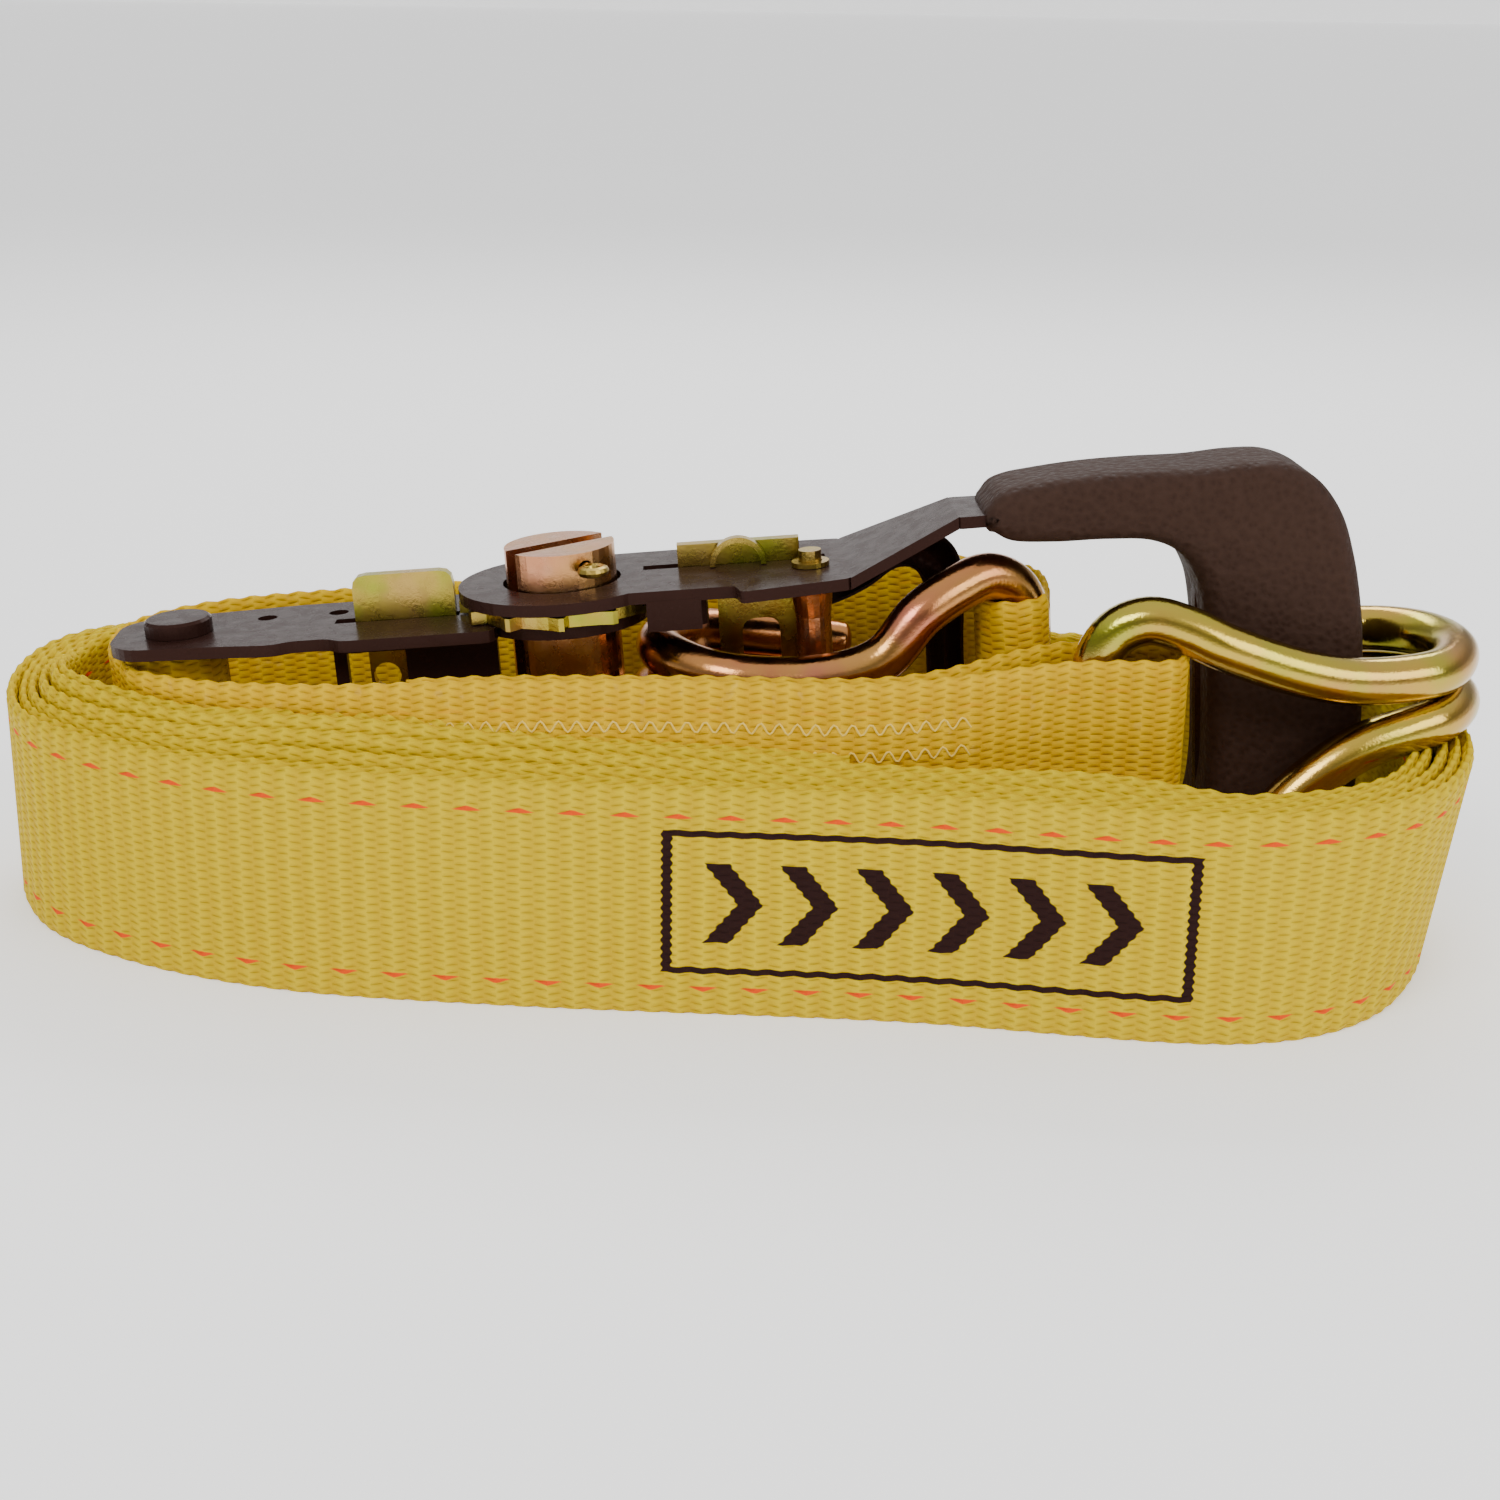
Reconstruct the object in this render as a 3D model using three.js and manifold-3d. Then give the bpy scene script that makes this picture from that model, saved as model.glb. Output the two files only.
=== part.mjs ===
// Ratchet strap, wound up for storage: a 50 mm webbing strap wound round its own ratchet buckle, with
// the handle folded out flat and both wire hooks tucked in. Millimetres, +Z up, origin on the ground
// under the middle of the bundle, +X from the buckle's bolt end to its grip, +Y to the back.
import * as THREE from 'three';
import { mergeVertices } from 'three/addons/utils/BufferGeometryUtils.js';
import Module from 'manifold-3d';

// Webbing
const WEB_WIDTH = 50;
const WEB_THICK = 2.8;
const COIL_WALL = 15.6;           // six layers, pressed flat
const COIL_PRESS = 4.6;           // how much of that is lost at the buckle's corner
const COIL_LEAN = 7;              // how far the right end leans outwards
const COIL_DROP = 2.5;            // and how much lower its top edge is there
const TAIL_Z = 44.4;              // middle of the long strap's sewn end
const MIDDLE = [-2.25, -0.3];      // middle of the bundle, brought over the origin at the end
const GAP = 0.35;                 // clearance between neighbouring solids

// Ratchet buckle, in its own frame: origin at the middle of the mandrel, x towards the grip, z along
// the mandrel's axis.
const BUCKLE_X = -38.9;
const BUCKLE_Y = -1.1;
const BUCKLE_Z = 45.9;
const BUCKLE_TILT = THREE.MathUtils.degToRad(4.6);    // grip end up
const BUCKLE_YAW = THREE.MathUtils.degToRad(2);       // grip end back
const PLATE = 2.6;
const FRAME_IN = 26;              // half the gap between the frame plates
const FRAME_OUT = FRAME_IN + PLATE;
const WHEEL_IN = 28.9;
const WHEEL_OUT = 31.7;
const HANDLE_IN = 32.1;
const HANDLE_OUT = HANDLE_IN + PLATE;

const MANDREL_R = 12;
const MANDREL_HALF = 42.6;
const MANDREL_SLOT = 4.6;
const PIN_R = 1.35;               // cotter pins through the mandrel's ends
const PIN_Z = MANDREL_HALF - 3.4;
const MANDREL_TURN = THREE.MathUtils.degToRad(30);    // the slot's direction at rest
const WHEEL_TEETH = 12;
const WHEEL_TIP_R = 22.8;
const WHEEL_ROOT_R = 19.8;
const BEARING_R = 12.6;           // hole in the frame plates
const HANDLE_EYE_R = 12.9;        // hole in the handle plates
const HANDLE_CAM_R = 22.6;
const FRAME_END_R = 18.6;

const BOLT_X = -84.4;
const BOLT_R = 4.8;
const SLEEVE_R = 6.4;
const BOLT_HEAD_R = 7.3;
const BOLT_HEAD = 3.5;

const EAR_X0 = -45.6;             // locking pawl's ears
const EAR_X1 = -23.6;
const EAR_TOP = 38.8;
const PAWL_T = 3;
const LOCK_TRAVEL = 4;            // how far the locking pawl can be pulled back

const DRIVE_X0 = 25.4;            // driving pawl's ears
const DRIVE_X1 = 52.2;
const DRIVE_TOP = 39.6;
const DRIVE_Y = 3.2;              // the driving pawl's front face
const DRIVE_TRAVEL = 5;

const CROSS_X = 54.2;             // handle's cross bolt
const CROSS_Y = -3.4;
const CROSS_R = 2.5;
const JOG_X0 = 62;                // where the handle plates spread outwards
const JOG_X1 = 86;
const JOG_RISE = 9.8;
const TANG_END = 148;

// Double-J hooks, each in its own frame: origin at the middle of the base bar, x towards the bend of
// the Js, z along the bar, Js opening towards +y.
const WIRE_R = 5.2;
const HOOK_BEND_R = 21.5;         // of the wire's middle line
const HOOK_SHANK_Y = -8;
const HOOK_TOP_Z = 32.5;          // the shanks leave the bar here
const HOOK_CLOSE_Z = 5.4;         // and run side by side here
// Middle of each bar, the rise of the J end and its turn to the side in degrees, the centre of the bend
// along x, and how far the shanks are bent up on their way to it.
const SHORT_HOOK = { x: 57.5, y: -0.6, z: 49.6, tilt: 8, turn: 12, reach: 57, lift: 0, back: true };
const LONG_HOOK = { x: 76, y: -18.2, z: 44.3, tilt: 7.8, turn: 10.5, reach: 64.5, lift: 5.4, back: false };

const wasm = await Module();
wasm.setup();

const MATERIALS = {
  plate: new THREE.MeshStandardMaterial({ color: 0x2b2120, roughness: 0.35, metalness: 0.2 }),
  gold: new THREE.MeshStandardMaterial({ color: 0xb9a552, roughness: 0.35, metalness: 0.9 }),
  bronze: new THREE.MeshStandardMaterial({ color: 0xa0693f, roughness: 0.3, metalness: 0.9 }),
  grip: new THREE.MeshStandardMaterial({ color: 0x33231f, roughness: 0.75, metalness: 0 }),
  webbing: new THREE.MeshStandardMaterial({ color: 0xf2cf18, roughness: 0.8, metalness: 0 }),
};

// ---- making solids -------------------------------------------------------------------------------

// A manifold solid from any closed three.js geometry.
function solid(geometry) {
  const bare = geometry.clone();
  bare.deleteAttribute('normal');
  bare.deleteAttribute('uv');
  const merged = mergeVertices(bare, 1e-4);
  return new wasm.Manifold(new wasm.Mesh({
    numProp: 3,
    vertProperties: new Float32Array(merged.attributes.position.array),
    triVerts: new Uint32Array(merged.index.array),
  }));
}

// A named mesh from a manifold solid; side -1 reflects it to the buckle's lower half.
function part(name, material, body, side = 1) {
  const mesh = body.getMesh();
  const points = new Float32Array(mesh.vertProperties);
  const faces = new Uint32Array(mesh.triVerts);
  if (side < 0) {
    for (let i = 2; i < points.length; i += 3) points[i] = -points[i];
    faces.reverse();
  }
  const geometry = new THREE.BufferGeometry();
  geometry.setAttribute('position', new THREE.BufferAttribute(points, 3));
  geometry.setIndex(new THREE.BufferAttribute(faces, 1));
  geometry.computeVertexNormals();
  const result = new THREE.Mesh(geometry, MATERIALS[material]);
  result.name = name;
  return result;
}

// A flat outline in x and y, raised from z0 to z1.
function prism(shape, z0, z1, curveSegments = 8) {
  const geometry = new THREE.ExtrudeGeometry(shape, { depth: z1 - z0, bevelEnabled: false, curveSegments });
  geometry.translate(0, 0, z0);
  return solid(geometry);
}

function polygon(points) {
  return new THREE.Shape(points.map(([x, y]) => new THREE.Vector2(x, y)));
}

// A polygon with its corners rounded to radius r.
function rounded(points, r, steps = 3) {
  const shape = new THREE.Shape();
  points.forEach((p, i) => {
    const here = new THREE.Vector2(...p);
    const before = new THREE.Vector2(...points.at(i - 1)).sub(here);
    const after = new THREE.Vector2(...points[(i + 1) % points.length]).sub(here);
    const reach = Math.min(r, before.length() / 2.1, after.length() / 2.1);
    const a = here.clone().add(before.setLength(reach));
    const b = here.clone().add(after.setLength(reach));
    for (let k = 0; k <= steps; k += 1) {
      const t = k / steps;
      const x = (1 - t) ** 2 * a.x + 2 * t * (1 - t) * here.x + t * t * b.x;
      const y = (1 - t) ** 2 * a.y + 2 * t * (1 - t) * here.y + t * t * b.y;
      if (i === 0 && k === 0) shape.moveTo(x, y);
      else shape.lineTo(x, y);
    }
  });
  shape.closePath();
  return shape;
}

function box([x0, y0, z0], [x1, y1, z1]) {
  const geometry = new THREE.BoxGeometry(x1 - x0, y1 - y0, z1 - z0);
  geometry.translate((x0 + x1) / 2, (y0 + y1) / 2, (z0 + z1) / 2);
  return solid(geometry);
}

// A cylinder along z.
function rod(r, z0, z1, x = 0, y = 0, sides = 24) {
  const geometry = new THREE.CylinderGeometry(r, r, z1 - z0, sides);
  geometry.rotateX(Math.PI / 2);
  geometry.translate(x, y, (z0 + z1) / 2);
  return solid(geometry);
}

// A cylinder along y.
function rodY(r, y0, y1, x = 0, z = 0, sides = 20) {
  const geometry = new THREE.CylinderGeometry(r, r, y1 - y0, sides);
  geometry.translate(x, (y0 + y1) / 2, z);
  return solid(geometry);
}

// An outline in x and -z, given a thickness in y.
function plateXZ(shape, y0, y1, curveSegments = 6) {
  const geometry = new THREE.ExtrudeGeometry(shape, { depth: y1 - y0, bevelEnabled: false, curveSegments });
  geometry.rotateX(Math.PI / 2);
  geometry.translate(0, y1, 0);
  return solid(geometry);
}

// A round wire along a curve.
function wireGeometry(curve, r, steps, sides) {
  const section = new THREE.Shape();
  for (let i = 0; i < sides; i += 1) {
    const a = (2 * Math.PI * i) / sides;
    const [x, y] = [r * Math.cos(a), r * Math.sin(a)];
    if (i === 0) section.moveTo(x, y);
    else section.lineTo(x, y);
  }
  section.closePath();
  return new THREE.ExtrudeGeometry(section, { steps, extrudePath: curve, bevelEnabled: false });
}

// Upper or lower, for the names of the paired parts.
const level = (side) => (side > 0 ? 'upper' : 'lower');

// The outline of a strip of the given thickness along a line of points in x and y.
function strip(points, thickness) {
  const curve = new THREE.CatmullRomCurve3(
    points.map(([x, y]) => new THREE.Vector3(x, y, 0)), false, 'centripetal');
  const count = points.length * 5;
  const left = [];
  const right = [];
  for (let i = 0; i <= count; i += 1) {
    const p = curve.getPoint(i / count);
    const t = curve.getTangent(i / count);
    left.push([p.x - t.y * thickness / 2, p.y + t.x * thickness / 2]);
    right.push([p.x + t.y * thickness / 2, p.y - t.x * thickness / 2]);
  }
  return polygon([...right, ...left.reverse()]);
}

// ---- webbing -------------------------------------------------------------------------------------

// The outermost turn seen from above, counter-clockwise from the front right, half way up.
const COIL_OUTLINE = [
  [105, -61.5], [137, -47.5], [155, -20], [160, 9], [149, 43], [118, 58], [60, 61], [-30, 61],
  [-112, 60.5], [-148, 55], [-164, 40], [-168, 20], [-160, -4], [-146, -21], [-126, -33.5], [-97, -43],
  [-51, -48.7], [30, -53.6],
];

// The wall is pressed thinner where it passes the corner of the buckle's frame.
function coilWall([x, y]) {
  const pressed = THREE.MathUtils.smoothstep(-x, 95, 125) * THREE.MathUtils.smoothstep(-y, -20, 10);
  return COIL_WALL - COIL_PRESS * pressed;
}

// Points of the outline moved inwards by a share of the wall and a further distance.
function coilRing(share, extra, steps) {
  const loop = new THREE.CatmullRomCurve3(
    COIL_OUTLINE.map(([x, y]) => new THREE.Vector3(x, y, 0)), true, 'centripetal');
  return Array.from({ length: steps }, (_, i) => {
    const p = loop.getPoint(i / steps);
    const t = loop.getTangent(i / steps);
    const inset = share * coilWall([p.x, p.y]) + extra;
    return [p.x - t.y * inset, p.y + t.x * inset];
  });
}

// The wound turns, upright except at the right, where they lean outwards under the hook.
function strapCoil(steps = 120) {
  const outer = coilRing(0, 0, steps);
  const inner = coilRing(1, 0, steps);
  const points = [];
  const faces = [];
  for (let i = 0; i < steps; i += 1) {
    const lean = THREE.MathUtils.smoothstep(outer[i][0], 90, 155);
    const top = WEB_WIDTH - COIL_DROP * lean;
    [[outer[i], 0], [outer[i], top], [inner[i], top], [inner[i], 0]].forEach(([[x, y], z]) => {
      points.push(x + COIL_LEAN * lean * (z > 0 ? 0.5 : -0.5), y, z);
    });
    const a = 4 * i;
    const b = 4 * ((i + 1) % steps);
    for (let k = 0; k < 4; k += 1) {
      const m = (k + 1) % 4;
      faces.push(a + k, b + k, b + m, a + k, b + m, a + m);
    }
  }
  return part('strap_coil', 'webbing', new wasm.Manifold(new wasm.Mesh({
    numProp: 3,
    vertProperties: new Float32Array(points),
    triVerts: new Uint32Array(faces),
  })));
}

// A slack loop of webbing seen from above: an oval, moved inwards by an inset.
function oval([x0, x1, y0, y1], inset) {
  const r = (y1 - y0) / 2;
  const middle = (y0 + y1) / 2;
  const shape = new THREE.Shape();
  shape.absarc(x1 - r, middle, r - inset, -Math.PI / 2, Math.PI / 2);
  shape.absarc(x0 + r, middle, r - inset, Math.PI / 2, 1.5 * Math.PI);
  shape.closePath();
  return shape;
}

// The buckle's place in the bundle.
function buckleMatrix() {
  const turn = new THREE.Euler(0, -BUCKLE_TILT, BUCKLE_YAW, 'ZYX');
  return new THREE.Matrix4().makeRotationFromEuler(turn).setPosition(BUCKLE_X, BUCKLE_Y, BUCKLE_Z);
}

// A hook's place in the bundle; the short strap's hook points back to the bolt end.
function hookMatrix(place) {
  const tilt = THREE.MathUtils.degToRad(place.tilt);
  const turn = THREE.MathUtils.degToRad(place.turn);
  return new THREE.Matrix4()
    .makeRotationFromEuler(new THREE.Euler(0, place.back ? tilt : -tilt, turn, 'ZYX'))
    .setPosition(place.x, place.y, place.z);
}

// The room a hook needs, to be left free in the webbing round its bar.
function hookRoom(place, toFrame) {
  const geometry = wireGeometry(hookRoute(place), WIRE_R + 0.8, 90, 12);
  return solid(geometry.applyMatrix4(new THREE.Matrix4().multiplyMatrices(toFrame, hookMatrix(place))));
}

// The long strap's end: two sewn layers along the front, and the loop for its hook.
function strapHookEnd() {
  const half = WEB_WIDTH / 2;
  const { x, y } = LONG_HOOK;
  const along = coilRing(1, 2 * GAP + WEB_THICK, 60).filter((p) => p[1] < 0 && p[0] > -88 && p[0] < 25);
  const route = [...along, [46, -30.6], [58, -25.6], [x - 8, y - 5]];
  const tail = prism(strip(route, 2 * WEB_THICK), -half, half);
  const span = [x - 15, x + 17.5, y - 9.4, y + 7.8];
  const loop = prism(oval(span, 0), -half, half, 10);
  const hollow = prism(oval(span, WEB_THICK), -half - 1, half + 1, 10);
  const room = hookRoom(LONG_HOOK, new THREE.Matrix4().makeTranslation(0, 0, -TAIL_Z));
  const mesh = part('strap_hook_end', 'webbing', tail.add(loop).subtract(hollow).subtract(room));
  mesh.position.z = TAIL_Z;
  return mesh;
}

// A place seen from above, in the buckle's own x and y.
function inBuckle([x, y]) {
  const dx = (x - BUCKLE_X) / Math.cos(BUCKLE_TILT);
  const dy = y - BUCKLE_Y;
  return [
    dx * Math.cos(BUCKLE_YAW) + dy * Math.sin(BUCKLE_YAW),
    dy * Math.cos(BUCKLE_YAW) - dx * Math.sin(BUCKLE_YAW),
  ];
}

// The short strap, in the buckle's frame: round the anchor sleeve, back along the inside of the coil,
// and round to its own hook.
function shortStrap() {
  const half = WEB_WIDTH / 2;
  const [hx, hy] = inBuckle([SHORT_HOOK.x, SHORT_HOOK.y]);
  const route = [
    [-127, -11.4], [-133, -9], [-138.4, -2], [-141.6, 8], [-142, 18], [-138, 28], [-128, 36], [-112, 40.4],
    [-70, 41.6], [0, 41.8], [32, 41.2], [50, 37.5], [61, 30], [66.6, 19], [66.8, 8], [65.4, -1], [63, -5.4],
  ].map(inBuckle);
  const band = prism(strip(route, WEB_THICK), -half, half);
  const r = SLEEVE_R + 0.5 + WEB_THICK;
  const anchorLoop = rod(r, -half, half, BOLT_X, 0, 32);
  const span = [hx - 8.6, hx + 9.6, hy - 8.4, hy + 8.4];
  const rooms = [
    rod(SLEEVE_R + 0.5, -half - 1, half + 1, BOLT_X, 0, 32),
    prism(oval(span, WEB_THICK), -half - 1, half + 1, 10),
    hookRoom(SHORT_HOOK, buckleMatrix().invert()),
  ];
  let body = band.add(anchorLoop).add(prism(oval(span, 0), -half, half, 10));
  rooms.forEach((room) => { body = body.subtract(room); });
  return part('short_strap', 'webbing', body);
}

// ---- frame ---------------------------------------------------------------------------------------

function framePlate(side) {
  const outline = rounded([
    [BOLT_X - 14, -7], [BOLT_X - 9, -12.6], [BOLT_X + 12, -14.6], [-62, -16.4], [-58, -14.2], [-50, -14.2],
    [-47, -17], [-14, -17], [-12, 17], [-60, 17], [BOLT_X, 14.6], [BOLT_X - 11, 12.5], [BOLT_X - 14.4, 8],
  ], 3);
  let plate = prism(outline, FRAME_IN, FRAME_OUT).add(rod(FRAME_END_R, FRAME_IN, FRAME_OUT, 0, 0, 40));
  const holes = [
    rod(BEARING_R, 0, 50, 0, 0, 36),
    rod(BOLT_R + GAP, 0, 50, BOLT_X, 0),
    rod(2.2, 0, 50, -66.4, 7.5, 14),
    rod(2.2, 0, 50, -50.6, 8, 14),
    box([EAR_X0 - LOCK_TRAVEL - 0.6, -PAWL_T / 2 - GAP, 20], [EAR_X1 + 0.6, PAWL_T / 2 + GAP, 40]),
  ];
  holes.forEach((hole) => { plate = plate.subtract(hole); });
  return part(`frame_plate_${level(side)}`, 'plate', plate, side);
}

function anchorBolt() {
  const head = new THREE.LatheGeometry([
    [0, FRAME_OUT + 0.1], [BOLT_HEAD_R, FRAME_OUT + 0.1], [BOLT_HEAD_R, FRAME_OUT + BOLT_HEAD - 0.6],
    [BOLT_HEAD_R - 0.6, FRAME_OUT + BOLT_HEAD], [0, FRAME_OUT + BOLT_HEAD],
  ].map(([r, z]) => new THREE.Vector2(r, z)), 32);
  head.rotateX(Math.PI / 2);
  head.translate(BOLT_X, 0, 0);
  const shank = rod(BOLT_R, -FRAME_OUT - 4.6, FRAME_OUT + 1, BOLT_X);
  return part('anchor_bolt', 'plate', solid(head).add(shank));
}

function anchorSleeve() {
  const half = FRAME_IN - 0.3;
  const tube = rod(SLEEVE_R, -half, half, BOLT_X).subtract(rod(BOLT_R + 0.3, -30, 30, BOLT_X));
  return part('anchor_sleeve', 'plate', tube);
}

function anchorNut() {
  const nut = rod(7.6, -FRAME_OUT - 4.2, -FRAME_OUT - 0.1, BOLT_X, 0, 6);
  return part('anchor_nut', 'plate', nut.subtract(rod(BOLT_R + 0.2, -40, 0, BOLT_X, 0)));
}

function frameBridge() {
  const half = FRAME_IN - 0.3;
  let bridge = box([-50, -8.6, -half], [-14.6, -6, half]);
  bridge = bridge.subtract(box([-47.2, -10, -23.5], [-34.5, 0, 23.5]));
  bridge = bridge.subtract(rod(BEARING_R + 1, -30, 30));
  return part('frame_bridge', 'plate', bridge);
}

function framePawl() {
  const half = FRAME_IN - 0.6;
  const web = box([EAR_X0 + 2, -PAWL_T / 2, -half], [EAR_X1 - 4, PAWL_T / 2, half]);
  const ears = plateXZ(rounded([
    [EAR_X0, -EAR_TOP], [EAR_X1, -EAR_TOP], [EAR_X1, EAR_TOP], [EAR_X0, EAR_TOP],
  ], 3), -PAWL_T / 2, PAWL_T / 2).subtract(box([-60, -5, 1 - half], [0, 5, half - 1]));
  const holes = rodY(3, -10, 10, -40, -16).add(rodY(3, -10, 10, -40, 16));
  return part('frame_pawl', 'gold', web.add(ears).subtract(holes));
}

function framePawlSpring() {
  const leaf = strip([[-48.4, 8], [-46.4, 3.2], [-44.4, 2.3], [-40, 2.6], [-34, 6], [-29, 7.4]], 0.8);
  return part('frame_pawl_spring', 'gold', prism(leaf, -9, 9));
}

// ---- mandrel -------------------------------------------------------------------------------------

function mandrelHalf(name, sign) {
  const keep = sign > 0
    ? box([-20, MANDREL_SLOT / 2, -60], [20, 20, 60])
    : box([-20, -20, -60], [20, -MANDREL_SLOT / 2, 60]);
  let half = rod(MANDREL_R, -MANDREL_HALF, MANDREL_HALF, 0, 0, 40).intersect(keep);
  [-PIN_Z, PIN_Z].forEach((z) => { half = half.subtract(rodY(PIN_R + GAP, -20, 20, 0, z)); });
  return part(name, 'bronze', half);
}

function ratchetWheel(side) {
  const points = [];
  for (let i = 0; i < WHEEL_TEETH; i += 1) {
    const a = (2 * Math.PI * i) / WHEEL_TEETH;
    const step = (2 * Math.PI) / WHEEL_TEETH;
    [[0, WHEEL_TIP_R], [0.1, WHEEL_TIP_R], [0.2, WHEEL_ROOT_R], [0.55, WHEEL_ROOT_R + 0.4],
      [0.8, WHEEL_ROOT_R + 1.4]]
      .forEach(([part_, r]) => {
        points.push([r * Math.cos(a + part_ * step), r * Math.sin(a + part_ * step)]);
      });
  }
  const wheel = prism(polygon(points), WHEEL_IN, WHEEL_OUT).subtract(rod(MANDREL_R + 0.25, 0, 50, 0, 0, 40));
  return part(`ratchet_wheel_${level(side)}`, 'gold', wheel, side);
}

// A cotter pin through both halves, its eye standing out at the front.
function splitPin(side) {
  const shank = rodY(PIN_R, -MANDREL_R - 1.6, MANDREL_R + 2.5, 0, PIN_Z, 12);
  const eye = new THREE.TorusGeometry(2.3, 1.1, 8, 20);
  eye.translate(0, -MANDREL_R - 3.4, PIN_Z);
  return part(`split_pin_${level(side)}`, 'gold', shank.add(solid(eye)), side);
}

// ---- handle --------------------------------------------------------------------------------------

function handlePlate(side) {
  const flat = rounded([
    [8, -17], [37.5, -17], [38.6, -22.4], [CROSS_X, -19], [JOG_X0 + 0.05, -17],
    [JOG_X0 + 0.05, 20.5], [CROSS_X, 21], [8, 20],
  ], 1.4);
  const sloped = polygon([[JOG_X0, -17], [JOG_X1 + 0.05, -10], [JOG_X1 + 0.05, 11], [JOG_X0, 20.5]]);
  const tang = rounded([[JOG_X1, -10], [TANG_END, -8], [TANG_END, 8], [JOG_X1, 11]], 1);
  const slope = JOG_RISE / (JOG_X1 - JOG_X0);
  const sheared = new THREE.ExtrudeGeometry(sloped, { depth: PLATE, bevelEnabled: false });
  sheared.translate(-JOG_X0, 0, HANDLE_IN);
  sheared.applyMatrix4(new THREE.Matrix4().set(1, 0, 0, 0, 0, 1, 0, 0, slope, 0, 1, 0, 0, 0, 0, 1));
  sheared.translate(JOG_X0, 0, 0);
  let plate = prism(flat, HANDLE_IN, HANDLE_OUT)
    .add(rod(HANDLE_CAM_R, HANDLE_IN, HANDLE_OUT, 0, 0, 48))
    .add(solid(sheared))
    .add(prism(tang, HANDLE_IN + JOG_RISE, HANDLE_OUT + JOG_RISE))
    .add(box([18.4, -17.1, HANDLE_IN - 6.2], [30, -14.9, HANDLE_IN + 0.5]));
  const cuts = [
    rod(HANDLE_EYE_R, 0, 50, 0, 0, 40),
    box([17.7, DRIVE_Y - GAP, 30], [DRIVE_X1 + DRIVE_TRAVEL + 0.6, DRIVE_Y + PAWL_T + GAP, 40]),
    rod(CROSS_R + 0.3, 30, 40, CROSS_X, CROSS_Y, 16),
  ];
  cuts.forEach((cut) => { plate = plate.subtract(cut); });
  return part(`handle_plate_${level(side)}`, 'plate', plate, side);
}

function handleBolt() {
  const end = HANDLE_OUT + 3.6;
  return part('handle_bolt', 'gold', rod(CROSS_R, -end, end, CROSS_X, CROSS_Y, 16));
}

function handleWasher(side) {
  const ring = rod(4.1, HANDLE_OUT + 0.15, HANDLE_OUT + 1.15, CROSS_X, CROSS_Y, 24)
    .subtract(rod(CROSS_R + 0.15, 30, 50, CROSS_X, CROSS_Y, 16));
  return part(`handle_washer_${level(side)}`, 'gold', ring, side);
}

// The spool round the cross bolt, waisted between its two flared ends.
function handleSleeve() {
  const half = HANDLE_IN - 0.3;
  const profile = [
    [CROSS_R + 0.3, -half], [5.2, -half], [4.6, -half + 3], [3.9, -half + 8], [3.7, 0], [3.9, half - 8],
    [4.6, half - 3], [5.2, half], [CROSS_R + 0.3, half], [CROSS_R + 0.3, -half],
  ];
  const spool = new THREE.LatheGeometry(profile.map(([r, z]) => new THREE.Vector2(r, z)), 20);
  spool.rotateX(Math.PI / 2);
  spool.translate(CROSS_X, CROSS_Y, 0);
  return part('handle_sleeve', 'bronze', solid(spool));
}

function pawlGuide(side) {
  const block = prism(rounded([[24, -14.4], [31.5, -14.4], [31.5, -5], [24, -5]], 3), 26, HANDLE_IN - 0.35);
  return part(`pawl_guide_${level(side)}`, 'plate', block, side);
}

// Half of the grip's outline in x and z, from its mouth to the middle of the cross bar.
function gripOutline() {
  const outer = [
    [92.6, 45.5], [93.4, 47.4], [96, 49], [103, 50.4], [114, 51.4], [126, 51.6], [138, 51.4], [148, 51.9],
    [156, 51.2], [163, 47.4], [168.4, 40], [171.4, 30], [173.2, 18], [173.8, 6],
  ];
  const inner = [
    [139.2, 6], [138.8, 18], [137.2, 27], [133.6, 33], [127.6, 36.2], [118, 37.2], [106, 37.4], [95, 38.4],
    [92.9, 40.4],
  ];
  return [...outer, ...outer.map(([x, z]) => [x, -z]).reverse(),
    ...inner.map(([x, z]) => [x, -z]).reverse(), ...inner];
}

function gripCover() {
  const outline = new THREE.Shape(gripOutline().map(([x, z]) => new THREE.Vector2(x, -z)).reverse());
  let grip = plateXZ(outline, -12, 12);
  const corner = rounded([[60, -12], [173.9, -12], [173.9, 12], [60, 12]], 7, 4);
  grip = grip.intersect(prism(corner, -60, 60));
  const tang = JOG_RISE + HANDLE_IN;
  const pocket = rounded([[80, -11.3], [TANG_END + 0.4, -8.4], [TANG_END + 0.4, 8.4], [80, 11.3]], 1);
  [tang - GAP, -tang - PLATE - GAP].forEach((z) => {
    grip = grip.subtract(prism(pocket, z, z + PLATE + 2 * GAP));
  });
  const channel = rod(4.4, -tang - PLATE - GAP, tang + PLATE + GAP, TANG_END - 6, 0, 16);
  return part('grip_cover', 'grip', grip.subtract(channel));
}

function gripCoreBar() {
  const tang = JOG_RISE + HANDLE_IN;
  return part('grip_core_bar', 'plate', rod(4, -tang + GAP, tang - GAP, TANG_END - 6, 0, 16));
}

// ---- driving pawl --------------------------------------------------------------------------------

function drivePawl() {
  const half = HANDLE_IN - 0.5;
  const y0 = DRIVE_Y;
  const y1 = DRIVE_Y + PAWL_T;
  const ears = box([DRIVE_X0, y0, -DRIVE_TOP], [DRIVE_X1, y1, DRIVE_TOP])
    .subtract(box([0, -50, -half + 4], [60, 50, half - 4]));
  let web = box([33.5, y0, -half], [DRIVE_X1 - 1, y1, half]);
  [[3, 22], [-22, -3]].forEach(([z0, z1]) => {
    const window = rounded([[38.6, -z0], [47, -z0], [47, -z1], [38.6, -z1]], 3);
    web = web.subtract(plateXZ(window, -20, 20));
  });
  return part('drive_pawl', 'gold', ears.add(web));
}

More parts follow.
